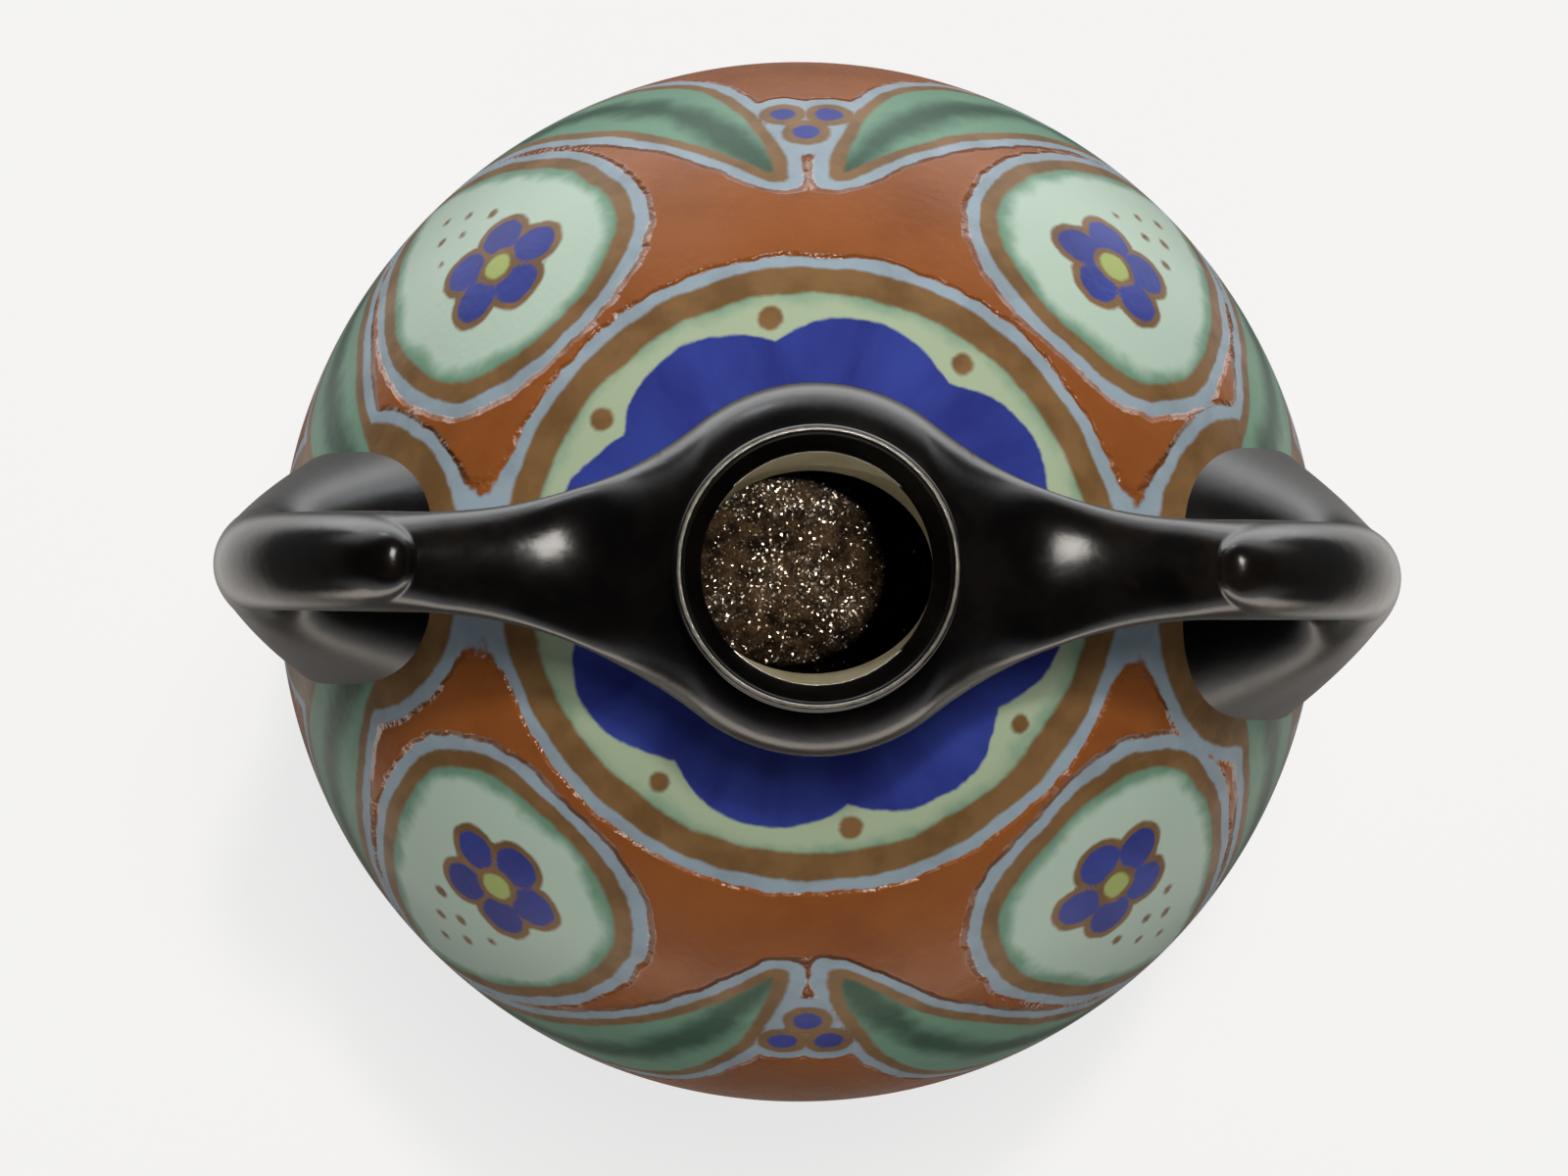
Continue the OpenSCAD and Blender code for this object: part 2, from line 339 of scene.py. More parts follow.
rosette = {"lobes": 8, "turn": math.radians(9), "tip": 30.5, "notch": 27.2, "dotR": 1.35, "dotAt": 30.2,
           "upTo": 55}
drop = {"at": 72, "width": 22, "length": 26, "pull": 1.3}
flower = {"at": 61, "spread": 5.2, "petalR": 2.9, "petals": 5, "core": 2}
speckle = {"radius": 0.75, "single": (73.5, 81.5), "pairs": ((4.5, 72), (2.4, 77))}
leaf = {"start": (10, 96), "bend": (33, 88), "tip": (34, 54), "width": 7.2, "power": 0.8, "inset": 0.4,
        "edgePoints": 40, "veinPoints": 60}
sprig = {"at": 66, "spread": 3.2, "berryR": 1.9, "berries": 3, "inset": 0.9}
bands = {"ring": 36, "foot": 1.2, "merge": 10, "low": 128, "base": 158}


def leafSpine(side, count):
    # a quadratic curve from beside the drop's point to the leaf's tip
    s = np.linspace(0, 1, count)[:, None]
    a, b, c = (np.array(leaf[k]) * (side, 1) for k in ("start", "bend", "tip"))
    return (1 - s) ** 2 * a + 2 * s * (1 - s) * b + s ** 2 * c


def leafOutline(side):
    # a width that swells and closes along the spine: half width = w sin(pi s)^power
    spine = leafSpine(side, leaf["edgePoints"])
    s = np.linspace(0, 1, len(spine))[:, None]
    along = np.gradient(spine, axis=0)
    across = np.stack([-along[:, 1], along[:, 0]], -1) / np.linalg.norm(along, axis=1)[:, None]
    half = leaf["width"] * np.sin(math.pi * s) ** leaf["power"]
    return np.concatenate([spine + across * half, (spine - across * half)[::-1]])


def circles(u, v, places, radius):
    # signed distance to the nearest of several discs
    return np.min([np.hypot(u - x, v - y) for x, y in places], axis=0) - radius


def wheel(count, at, spread):
    # places spread evenly on a circle round (0, at), half a step off its top
    a = 2 * math.pi * (np.arange(count) + 0.5) / count
    return np.stack([spread * np.sin(a), at + spread * np.cos(a)], -1)


def lineField(points, line):
    # distance in space to a closed line
    best = np.full(points.shape[:-1], 1e9)
    for a, b in zip(line, np.roll(line, -1, 0)):
        d = b - a
        share = np.clip(((points - a) @ d) / (d @ d), 0, 1)
        best = np.minimum(best, np.linalg.norm(points - a - share[..., None] * d, axis=-1))
    return best


def paintFields(angle, r, arc, points, footLines):
    # angle about Z, distance from Z, length along the skin from the top, and the skin's points
    onTop, beyond = arc < rosette["upTo"], 2 * body["radius"]
    fields = {"ring": np.where(arc < body["radius"] * math.pi / 2, r, beyond - r)}
    step = 2 * math.pi / rosette["lobes"]
    lobe = np.mod(angle - rosette["turn"], step) / step
    edge = rosette["notch"] + (rosette["tip"] - rosette["notch"]) * np.sin(math.pi * lobe)
    fields["rose"] = np.where(onTop, r - edge, beyond)
    dotTurn = (np.mod(angle - rosette["turn"] + step / 2, step) - step / 2) * r
    dots = np.hypot(dotTurn, np.where(onTop, r - rosette["dotAt"], beyond)) - rosette["dotR"]
    # four quarters with a drop on each diagonal: u runs across it, v down the skin
    u, v = (np.mod(angle, math.pi / 2) - math.pi / 4) * r, arc
    fields["drop"] = outlineField(u, v - drop["at"], teardrop(drop["width"], drop["length"], drop["pull"]))
    fields["leaf"] = np.minimum(*[outlineField(u, v, leafOutline(side)) for side in (-1, 1)])
    spines = [leafSpine(side, leaf["veinPoints"]) for side in (-1, 1)]
    fields["vein"] = np.minimum(*[circles(u, v, spine, 0) for spine in spines])
    petals = wheel(flower["petals"], flower["at"], flower["spread"])
    fields["petal"] = circles(u, v, petals, flower["petalR"])
    fields["core"] = circles(u, v, [(0, flower["at"])], flower["core"])
    # between the quarters, towards the front, back and handles
    across = (np.mod(angle + math.pi / 4, math.pi / 2) - math.pi / 4) * r
    berries = wheel(sprig["berries"], sprig["at"], sprig["spread"])
    fields["berry"] = circles(across, v, berries, sprig["berryR"])
    places = [(0, at) for at in speckle["single"]]
    places += [(side * out, at) for out, at in speckle["pairs"] for side in (-1, 1)]
    fields["dots"] = np.minimum(dots, circles(u, v, places, speckle["radius"]))
    fromFeet = np.minimum(*[lineField(points, line) for line in footLines])
    band = -softMax(-(arc - bands["ring"]), -(fromFeet - bands["foot"]), bands["merge"])
    lows = np.abs(arc - bands["low"])
    shapes = [fields["drop"], fields["leaf"] + leaf["inset"], fields["berry"] + sprig["inset"], band, lows,
              bands["base"] - arc]
    fields["outline"] = np.min(shapes, axis=0)
    return fields


paint = {"rust": linear(151, 88, 43), "rustDark": linear(135, 76, 36),
         "sky": linear(156, 174, 188), "skyDark": linear(142, 158, 170),
         "brown": linear(134, 102, 66), "brownDark": linear(112, 83, 50), "mint": linear(174, 191, 162),
         "mintCool": linear(188, 210, 196), "teal": linear(112, 152, 130), "green": linear(48, 82, 64),
         "blue": linear(58, 73, 160), "blueDark": linear(42, 49, 126), "lime": linear(168, 184, 110)}
# the brush: how far its lines waver in mm, how fast the blue strokes change around and outwards,
# how far each wash runs in mm, and where a fill turns to its second tone
brush = {"waver": 1.8, "tremble": 0.5, "ragged": 1.2, "around": 2.0, "outwards": 55.0,
         "leafRun": 6, "leafTurn": (0.2, 4.6), "dropRun": 4, "dropTurn": (-2.6, -0.2),
         "ringRun": 5, "ringTurn": (30.8, 34.4)}
# where painted lines end, in mm from the edge of a drawn shape, or from the axis for the ring,
# and half the softness of each kind of edge
lineEnd = {"brown": 2.2, "sky": 3.9, "rust": 4.2, "petal": 1.0, "core": 0.9, "ring": 32.9}
edgeSoft = {"sky": 0.15, "dot": 0.25, "line": 0.3, "ring": 0.35, "fill": 0.4, "rust": 0.45}
# the rust lies thick: its height in mm, the share of grain on it, and its satin, edge and bead
rust = {"deep": 0.6, "grain": 0.1, "satin": (0.3, 0.38), "gloss": 0.22, "bead": 0.6, "beadRoughness": 0.1,
        "beadIor": 1.6}


def strokes(tree):
    # brush strokes that run out from the axis: noise on the direction from it, stretched outwards
    level = vector2(tree, "MULTIPLY", objectPlace(tree), (1, 1, 0))
    around = scaled(tree, vector2(tree, "NORMALIZE", level), brush["around"])
    found = vector2(tree, "ADD", around, scaled(tree, level, brush["outwards"]))
    inputs = {"Vector": found, "Scale": 1.0, "Detail": 4.0}
    return addNode(tree, "ShaderNodeTexNoise", inputs).outputs["Fac"]


def paintedGlaze():
    material, tree, shader = newMaterial("paintedGlaze", specular=0.1)
    grain = noiseOf(tree, scale=700, detail=3)
    waver = swing(tree, noiseOf(tree, scale=110), brush["waver"])
    shake = math2(tree, "ADD", waver, swing(tree, grain, brush["tremble"]))
    cloud = noiseOf(tree, scale=60, detail=4, roughness=0.6)
    wash = noiseOf(tree, scale=150, detail=3, roughness=0.55)

    def drawn(name):
        return math2(tree, "ADD", field(tree, name), shake)

    def washed(value, by):
        return math2(tree, "ADD", value, swing(tree, wash, by))

    def under(value, limit, half):
        return ramp(tree, value, limit - half, limit + half, 1, 0)

    def toned(a, b, by=wash):
        return mixColor(tree, ramp(tree, by, 0.35, 0.7), paint[a], paint[b])

    outline, dropEdge, leafEdge = drawn("outline"), drawn("drop"), drawn("leaf")
    ring, rose, berry, petal = drawn("ring"), drawn("rose"), drawn("berry"), drawn("petal")
    core, dots = drawn("core"), drawn("dots")
    brown = toned("brown", "brownDark")
    blue = mixColor(tree, ramp(tree, strokes(tree), 0.25, 0.75), paint["blueDark"], paint["blue"])
    ragged = math2(tree, "ADD", outline, swing(tree, noiseOf(tree, scale=260, detail=3), brush["ragged"]))
    color = toned("rust", "rustDark", cloud)
    color = mixColor(tree, under(ragged, lineEnd["sky"], edgeSoft["sky"]), color, toned("sky", "skyDark"))
    color = mixColor(tree, under(outline, lineEnd["brown"], edgeSoft["line"]), color, brown)
    # leaves: dark along the vein, pale at the edge
    leafTone = ramp(tree, washed(field(tree, "vein"), brush["leafRun"]), *brush["leafTurn"])
    leafFill = mixColor(tree, leafTone, paint["green"], paint["teal"])
    color = mixColor(tree, under(leafEdge, 0, edgeSoft["fill"]), color, leafFill)
    # drops: cool mint, turning teal towards the brown line
    color = mixColor(tree, under(dropEdge, lineEnd["brown"], edgeSoft["line"]), color, brown)
    dropTone = ramp(tree, washed(dropEdge, brush["dropRun"]), *brush["dropTurn"])
    dropFill = mixColor(tree, dropTone, paint["mintCool"], paint["teal"])
    color = mixColor(tree, under(dropEdge, 0, edgeSoft["fill"]), color, dropFill)
    # flowers and berries
    color = mixColor(tree, under(petal, lineEnd["petal"], edgeSoft["line"]), color, brown)
    color = mixColor(tree, under(petal, 0, edgeSoft["dot"]), color, blue)
    color = mixColor(tree, under(core, lineEnd["core"], edgeSoft["line"]), color, brown)
    color = mixColor(tree, under(core, 0, edgeSoft["line"]), color, paint["lime"])
    color = mixColor(tree, under(berry, 0, edgeSoft["dot"]), color, blue)
    # ring: mint with a green bleed beside the brown band, then the blue rosette and the dots
    ringTone = ramp(tree, washed(ring, brush["ringRun"]), *brush["ringTurn"])
    ringFill = mixColor(tree, ringTone, paint["mint"], paint["teal"])
    color = mixColor(tree, under(ring, lineEnd["ring"], edgeSoft["ring"]), color, ringFill)
    color = mixColor(tree, under(rose, 0, edgeSoft["dot"]), color, blue)
    color = mixColor(tree, under(dots, 0, edgeSoft["ring"]), color, brown)
    tree.links.new(color, shader.inputs["Base Color"])
    # the rust's edge is rounded along the pale line
    sunk = under(ragged, lineEnd["rust"], edgeSoft["rust"])
    relief = math2(tree, "SUBTRACT", swing(tree, grain, rust["grain"]), sunk)
    inputs = {"Height": relief, "Strength": 1.0, "Distance": rust["deep"] * mm}
    bump = addNode(tree, "ShaderNodeBump", inputs).outputs[0]
    tree.links.new(bump, shader.inputs["Normal"])

    def onEdge(before, near, far, rest):
        # 1 on the rust's edge, from a little before the pale line ends; it fades to rest from near to far
        rise = ramp(tree, ragged, lineEnd["sky"] - before, lineEnd["sky"])
        fade = ramp(tree, ragged, lineEnd["rust"] + near, lineEnd["rust"] + far, 1, rest)
        return math2(tree, "MULTIPLY", rise, fade)

    # that edge is glossier than the rest and carries a clear bead here and there
    satin = ramp(tree, wash, 0.3, 0.75, *rust["satin"])
    gloss = math2(tree, "MULTIPLY", onEdge(before=0.3, near=0.4, far=1.0, rest=0.3), rust["gloss"])
    tree.links.new(math2(tree, "SUBTRACT", satin, gloss), shader.inputs["Roughness"])
    broken = ramp(tree, noiseOf(tree, scale=240), 0.42, 0.54, 0, rust["bead"])
    bead = math2(tree, "MULTIPLY", onEdge(before=0.2, near=0.3, far=0.5, rest=0), broken)
    tree.links.new(bead, shader.inputs["Coat Weight"])
    tree.links.new(bump, shader.inputs["Coat Normal"])
    shader.inputs["Coat Roughness"].default_value = rust["beadRoughness"]
    shader.inputs["Coat IOR"].default_value = rust["beadIor"]
    return material


# the black's tones and satin; the handles' feet grow duller between two heights in mm; the grain is in mm
blackLook = {"deep": linear(8, 7, 7), "thin": linear(20, 17, 15), "smudge": linear(48, 40, 33),
             "smudgeShare": 0.35, "satin": (0.18, 0.27), "dullFrom": 132, "dullest": 114, "duller": 0.19,
             "grain": 0.2}


def blackGlaze(name="blackGlaze"):
    material, tree, shader = newMaterial(name, specular=0.55)
    wear = noiseOf(tree, scale=90, detail=5, roughness=0.6)
    color = mixColor(tree, ramp(tree, wear, 0.4, 0.75), blackLook["deep"], blackLook["thin"])
    smudge = noiseOf(tree, scale=55, detail=6, roughness=0.65)
    smudge = ramp(tree, smudge, 0.52, 0.75, 0, blackLook["smudgeShare"])
    color = mixColor(tree, smudge, color, blackLook["smudge"])
    tree.links.new(color, shader.inputs["Base Color"])
    height = parted(tree, objectPlace(tree))[2]
    onFeet = ramp(tree, height, blackLook["dullest"] * mm, blackLook["dullFrom"] * mm, blackLook["duller"], 0)
    satin = ramp(tree, wear, 0.3, 0.8, *blackLook["satin"])
    tree.links.new(math2(tree, "ADD", satin, onFeet), shader.inputs["Roughness"])
    inputs = {"Height": noiseOf(tree, scale=500, detail=3), "Strength": 0.15,
              "Distance": blackLook["grain"] * mm}
    tree.links.new(addNode(tree, "ShaderNodeBump", inputs).outputs[0], shader.inputs["Normal"])
    return material, tree, shader, color


# the painted highlight along the lip's crest, in mm: how far outside the crest it lies, how it wavers, and
# where it fades
crestHighlight = {"out": 0.12, "waver": 0.25, "full": 0.05, "gone": 0.24, "share": 0.8, "tone": linear(132, 125, 114)}


def lipGlaze():
    # the same black, with a thin pale line painted along the crest as a painted highlight
    material, tree, shader, color = blackGlaze("lipGlaze")
    parts = parted(tree, objectPlace(tree))
    squares = [math2(tree, "MULTIPLY", parts[i], parts[i]) for i in (0, 1)]
    r = math2(tree, "SQRT", math2(tree, "ADD", *squares))
    off = math2(tree, "ABSOLUTE", math2(tree, "SUBTRACT", r, (lip["radius"] + crestHighlight["out"]) * mm))
    off = math2(tree, "ADD", off, swing(tree, noiseOf(tree, scale=900, detail=3), crestHighlight["waver"] * mm))
    share = ramp(tree, off, crestHighlight["full"] * mm, crestHighlight["gone"] * mm, crestHighlight["share"], 0)
    # painted highlight: the crest's pale line is mixed into the base colour
    tree.links.new(mixColor(tree, share, color, crestHighlight["tone"]), shader.inputs["Base Color"])
    return material


# facets to a metre, and how far they lean where they are steepest and flattest
facet = {"scale": 3400, "steep": 1.6, "flat": 0.62, "tint": (1, 0.88, 0.74, 1),
         "dark": linear(18, 13, 10), "pale": linear(70, 54, 38)}


def insideGlaze():
    # a dark brown glaze full of small facets, each turned its own way; they glint where they lie flattest
    material, tree, shader = newMaterial("insideGlaze", specular=0.9, roughness=0.24)
    shader.inputs["Specular Tint"].default_value = facet["tint"]
    stain = noiseOf(tree, scale=320, detail=5, roughness=0.65)
    color = mixColor(tree, ramp(tree, stain, 0.35, 0.7), facet["dark"], facet["pale"])
    tree.links.new(color, shader.inputs["Base Color"])
    grain = addNode(tree, "ShaderNodeTexVoronoi", {"Vector": objectPlace(tree), "Scale": facet["scale"]})
    patches = noiseOf(tree, scale=90, detail=3, roughness=0.6)
    spread = ramp(tree, patches, 0.4, 0.6, facet["steep"], facet["flat"])
    lean = scaled(tree, vector2(tree, "SUBTRACT", grain.outputs["Color"], (0.5, 0.5, 0.5)), spread)
    normal = addNode(tree, "ShaderNodeNewGeometry").outputs["Normal"]
    facing = vector2(tree, "NORMALIZE", vector2(tree, "ADD", lean, normal))
    tree.links.new(facing, shader.inputs["Normal"])
    return material


def mottled(name, roughness, specular, noise, span, pale, dark):
    # a glaze or clay of two tones that run into each other; noise gives its scale, detail and roughness
    material, tree, shader = newMaterial(name, specular, roughness)
    share = ramp(tree, noiseOf(tree, *noise), *span)
    tree.links.new(mixColor(tree, share, pale, dark), shader.inputs["Base Color"])
    return material


black = blackGlaze()[0]
cream = mottled("creamGlaze", roughness=0.3, specular=0.5, noise=(120, 4, 0.6), span=(0.4, 0.75),
                pale=linear(222, 214, 184), dark=linear(200, 188, 150))
bareClay = mottled("bareClay", roughness=0.8, specular=0.3, noise=(400, 5, 0.6), span=(0.35, 0.7),
                   pale=linear(206, 186, 148), dark=linear(176, 150, 108))

# Handle: a loft between an upper and a lower line of cubic curves, closed on the body's skin

handle = {"reach": (body["radius"] + 1.27, topZ - 42), "loop": 11.5, "innerRise": 9,
          "crownPull": 7, "reachPull": 21, "toePull": 14, "toeIn": 0.5, "bendPull": 9, "heelPull": (-9, -1),
          "flareFrom": 0.85, "flarePower": 1.2, "full": 0.7, "fullLow": 0.6, "fullRun": 0.6,
          "toe": (85, 2), "heel": (34, 5), "sink": 0.25, "noseFrom": 41,
          "cols": 160, "strapRows": 44, "noseRows": 40, "loopRows": 70, "flareRows": 44, "trimSteps": 400}
# each handle is turned a little about Z, the right one only at its foot,
# and the left foot is narrower
leftSet = {"flareHalf": 19, "turn": math.radians(-1.07), "top": 1}
rightSet = {"flareHalf": 22.3, "turn": math.radians(-0.9), "top": 0}
turnRun = {"x": 12, "fromZ": 118, "rise": 22}


def underSkin(degrees, depth):
    # a point so deep under the skin, at an angle down from the top
    a, r = math.radians(degrees), body["radius"] - depth
    return np.array([r * math.sin(a), body["bellyZ"] + r * math.cos(a)])


def curve(start, leave, end, arrive):
    # the four points of a cubic curve, from its ends and the pulls there
    start, end = np.array(start), np.array(end)
    return np.array([start, start + leave, end - arrive, end])


def chain(curves, t):
    # cubic curves end to end; the whole part of t names the curve
    i = np.clip(t.astype(int), 0, len(curves) - 1)
    p = np.array(curves)[i]
    u = (t - i)[..., None]
    v = 1 - u
    first, second, third, last = (p[..., k, :] for k in range(4))
    return v ** 3 * first + 3 * v * v * u * second + 3 * v * u * u * third + u ** 3 * last


crown = np.array([knuckle["x"], knuckle["z"]])
arch = np.array([knuckle["x"], strap["saddleZ"] - strap["thick"]])
innerBend = np.array(handle["reach"]) + (-handle["loop"], handle["innerRise"])
toe, heel = underSkin(*handle["toe"]), underSkin(*handle["heel"])
upperLine = [curve(crown, (handle["crownPull"], 0), handle["reach"], (0, -handle["reachPull"])),
             curve(handle["reach"], (0, -handle["toePull"]), toe, (-handle["toeIn"], -handle["toePull"]))]
lowerLine = [curve(arch, (handle["crownPull"], 0), innerBend, (0, -handle["bendPull"])),
             curve(innerBend, (0, -handle["bendPull"]), heel, handle["heelPull"])]

# share of the loop's upper half that the strap fills where the loop starts
bedShare = 1 - (crown[1] - strap["saddleZ"] - strapRise(crown[0])) / ((crown[1] - arch[1]) / 2)


def loopPoint(t, a, flareHalf):
    # ellipse between the two lines: half width across Y, half the span between the lines in XZ
    # near the knuckle its upper half is the tongue, with the strap's shoulders beside it
    # in the flare both halves have a fuller, squarer section
    high, low = chain(upperLine, t), chain(lowerLine, t)
    middle, half = (high + low) / 2, (high - low) / 2
    flare = np.clip((t - handle["flareFrom"]) / (2 - handle["flareFrom"]), 0, 1) ** handle["flarePower"]
    width = strap["half"] + (flareHalf - strap["half"]) * flare
    over = np.maximum(np.cos(a), 0)
    onKnuckle = merged(bedShare * over, tongueDome(np.sin(a), high[..., 0]))
    opened = smooth((t - 1) / handle["fullRun"])
    onFlare = dome(np.sin(a), 2 + handle["full"] * opened)
    below = -dome(np.sin(a), 2 + handle["fullLow"] * opened)
    rise = np.where(over > 0, np.where(t < 1, onKnuckle, onFlare), below)
    return np.stack([middle[..., 0] + half[..., 0] * rise, width * np.sin(a),
                     middle[..., 1] + half[..., 1] * rise], -1)


def handleGrid(side):
    # closed sections along the strap, round the loop and down the flare, then turned a little about Z
    a = np.linspace(0, 2 * math.pi, handle["cols"], endpoint=False)
    setting = leftSet if side < 0 else rightSet
    flareHalf = setting["flareHalf"]
    noseFrom = handle["noseFrom"]
    x = np.concatenate([np.linspace(strap["jointX"], noseFrom, handle["strapRows"], endpoint=False),
                        np.linspace(noseFrom, knuckle["x"], handle["noseRows"], endpoint=False)])[:, None]
    y = eyeHalf(x) * np.sin(a)
    upper, lower = plateHeights(x + 0 * a, y)
    strapRows = np.stack([x + 0 * a, y, np.where(np.cos(a) > 0, upper, lower)], -1)
    t = np.linspace(0, 1, handle["loopRows"], endpoint=False)[:, None] + 0 * a
    loopRows = loopPoint(t, a + 0 * t, flareHalf)
    # the flare's rows stop where each of its lines dips under the body's skin
    t = np.linspace(1, 2, handle["trimSteps"])[:, None] + 0 * a
    centre = np.array([0, 0, body["bellyZ"]])
    height = np.linalg.norm(loopPoint(t, a + 0 * t, flareHalf) - centre, axis=-1) - body["radius"]
    last = np.argmax(height < -handle["sink"], 0) / (handle["trimSteps"] - 1)
    t = 1 + last * np.linspace(0, 1, handle["flareRows"])[:, None]
    flareRows = loopPoint(t, a + 0 * t, flareHalf)
    grid = np.concatenate([strapRows, loopRows, flareRows]) * (side, 1, 1)
    high = smooth((grid[..., 2] - turnRun["fromZ"]) / turnRun["rise"])
    away = smooth((np.abs(grid[..., 0]) - strap["jointX"]) / turnRun["x"])
    turn = setting["turn"] * away * (1 - high + setting["top"] * high)
    x, y, z = np.moveaxis(grid, -1, 0)
    return np.stack([x * np.cos(turn) - y * np.sin(turn), x * np.sin(turn) + y * np.cos(turn), z], -1)


for name, node, side in (("handleLeft", "handle_left", -1), ("handleRight", "handle_right", 1)):
    grid = handleGrid(side)
    ends = ((0, grid[0].mean(0)), (-1, grid[-1].mean(0)))
    addPiece(name, grid, [node], black, poles=ends, flip=side > 0)

# Body pieces: the painted skin outside and the glazed inside

footLines = [handleGrid(side)[-1] for side in (-1, 1)]
skin = np.concatenate([flatRows(body["openR"], body["seatR"], seatZ, body["seatRows"])[:-1],
                       bodyArcs(0, seatAngle, lowerAngle, body["upperRows"], body["lowerRows"]),
                       flatRows(body["baseR"], body["hubR"], body["baseZ"], body["baseRows"])[1:]])
skinGrid = turned(skin, body["cols"])
skinPiece = addPiece("bodySkin", skinGrid, ["body_upper", "body_lower"], paintedGlaze(),
                     poles=((-1, (0, 0, body["baseZ"])),), flip=True)
steps = np.linalg.norm(np.diff(skin, axis=0), axis=1)
arc = np.concatenate([[0], np.cumsum(steps)]) + body["radius"] * seatAngle - (body["seatR"] - body["openR"])
angle = np.linspace(0, 2 * math.pi, body["cols"], endpoint=False)
found = paintFields(angle + 0 * arc[:, None], skin[:, :1] + 0 * angle, arc[:, None] + 0 * angle,
                    skinGrid, footLines)
for name, values in found.items():
    setField(skinPiece, name, np.append(values.ravel(), values[-1, 0]))
print("decor drawn in", len(found), "fields")

cavity = {"cols": 160, "upperRows": 40, "lowerRows": 30, "floorRows": 14, "hubR": 2}
innerTop = math.asin(body["openR"] / (body["radius"] - body["wall"]))
innerLow = math.asin((body["bellyZ"] - body["baseZ"] - body["floor"]) / (lowerR - body["wall"]))
arcs = bodyArcs(body["wall"], innerTop, innerLow, cavity["upperRows"], cavity["lowerRows"])
floorR, floorZ = arcs[-1]
inside = np.concatenate([[[body["openR"], seatZ]], arcs,
                         flatRows(floorR, cavity["hubR"], floorZ, cavity["floorRows"])[1:]])
addPiece("bodyInside", turned(inside, cavity["cols"]), ["body_upper", "body_lower"],
         insideGlaze(), poles=((-1, (0, 0, floorZ)),))

# Foot ring: a flat-sided section with its lower corners rounded

foot = {"outer": 38, "width": 7, "height": 5, "round": 1.4, "roundRows": 7, "cols": 180}


def footSection():
    # corners counted from the top inside edge, down the inside, round the bottom and up the outside
    turn = np.linspace(0, math.pi / 2, foot["roundRows"])
    r, c = foot["round"], np.stack([np.cos(turn), np.sin(turn)], -1)
    inner, outer = foot["outer"] - foot["width"], foot["outer"]
    low = np.array([inner + r, r]) - r * c
    high = np.array([outer - r, r]) + r * np.stack([np.sin(turn), -np.cos(turn)], -1)
    return np.concatenate([[[inner, foot["height"]]], low, high, [[outer, foot["height"]]]])


addPiece("footRing", turned(footSection(), foot["cols"]), ["foot_ring"], bareClay, wrapRows=True)

# Lip: a thin raised rim that slopes into the mouth, with a hollow at its outer foot

def collarHeight(r):
    # height of the collar's upper face at the front and back, where no strap leaves it
    return edgeZ + collar["round"] * edgeShare(collar["radius"] - r, 0 * r)


def lipSection():
    # the hollow is a quadratic curve that leaves the lip's wall upright and meets the collar in line
    wall, hem, step = lip["radius"] + lip["round"], lip["foot"], 0.1
    low = collarHeight(np.array([hem, hem + step]))
    bend = np.array([wall, low[0] + (low[0] - low[1]) / step * (hem - wall)])
    s = np.linspace(0, 1, lip["hollowRows"])[:, None]
    start, end = np.array([hem, low[0]]), bend + (0, hem - wall)
    hollow = (1 - s) ** 2 * start + 2 * s * (1 - s) * bend + s ** 2 * end
    turn = np.linspace(0, math.pi, lip["crestRows"])
    circle = np.stack([np.cos(turn), np.sin(turn)], -1)
    crest = np.array([lip["radius"], topZ - lip["round"]]) + lip["round"] * circle
    sunk = low[0] - lip["sunk"]
    slope = [[mouth["radius"], collar["z"]], [mouth["radius"], sunk]]
    return np.concatenate([[[hem, sunk]], hollow, crest, slope])


addPiece("lipRing", turned(lipSection(), lip["cols"]), ["lip_ring"], lipGlaze(),
         wrapRows=True, flip=True)

# Neck: rows run out over the collar, back under it, down the stem, across the seat and up the throat

neck = {"cols": 288, "overRows": 40, "underRows": 24, "stemRows": 14, "throatRows": 40,
        "nearest": 5.0, "farthest": 60.0, "halvings": 40, "tuck": 1, "margin": 0.01}


def neckGrid():
    # every row is a ring of rays about Z: x = r cos a, y = r sin a, with r and the height worked out for each
    a = np.linspace(0, 2 * math.pi, neck["cols"], endpoint=False)
    cosA, sinA = np.cos(a), np.sin(a)
    throat = 1 / np.hypot(cosA / collar["throatX"], sinA / collar["throatY"])
    # the plan's edge along each ray, found by halving, and cut off at the joints with the straps
    low, high = np.full(a.shape, neck["nearest"]), np.full(a.shape, neck["farthest"])
    for halving in range(neck["halvings"]):
        middle = (low + high) / 2
        within = (eyeInset(middle * cosA, middle * sinA) > 0) & (np.abs(middle * cosA) < strap["jointX"])
        low, high = np.where(within, middle, low), np.where(within, high, middle)
    edge = low

    def plate(r, face):
        x, y = r * cosA, r * sinA
        return np.stack([x, y, plateHeights(x, y)[face]], -1)

    start = np.maximum(throat, mouth["radius"])
    ease = np.sin(np.linspace(0, math.pi / 2, neck["overRows"]))[:, None]
    over = plate(start + (edge - start) * ease, 0)
    ease = 1 - np.cos(np.linspace(0, math.pi / 2, neck["underRows"]))[:, None]
    below = plate(edge + (collar["stemR"] - neck["tuck"] - edge) * ease, 1)
    flare = body["seatR"] - collar["stemR"]
    turn = np.linspace(0, math.pi / 2, neck["stemRows"])
    stemR = body["seatR"] - flare * np.sin(turn[::-1])
    stemZ = seatZ + flare - flare * np.cos(turn[::-1])
    stem = np.stack([stemR[:, None] * cosA, stemR[:, None] * sinA, stemZ[:, None] + 0 * a], -1)
    z = np.linspace(seatZ, collar["z"], neck["throatRows"], endpoint=False)[:, None]
    narrowing = (mouth["radius"] - collar["throatY"] + mouth["bite"]) * (collar["z"] - z) / mouth["depth"]
    r = np.maximum(throat, mouth["radius"] - narrowing)
    bore = np.stack([r * cosA, r * sinA, z + 0 * a], -1)
    return np.concatenate([over, below, stem, bore])


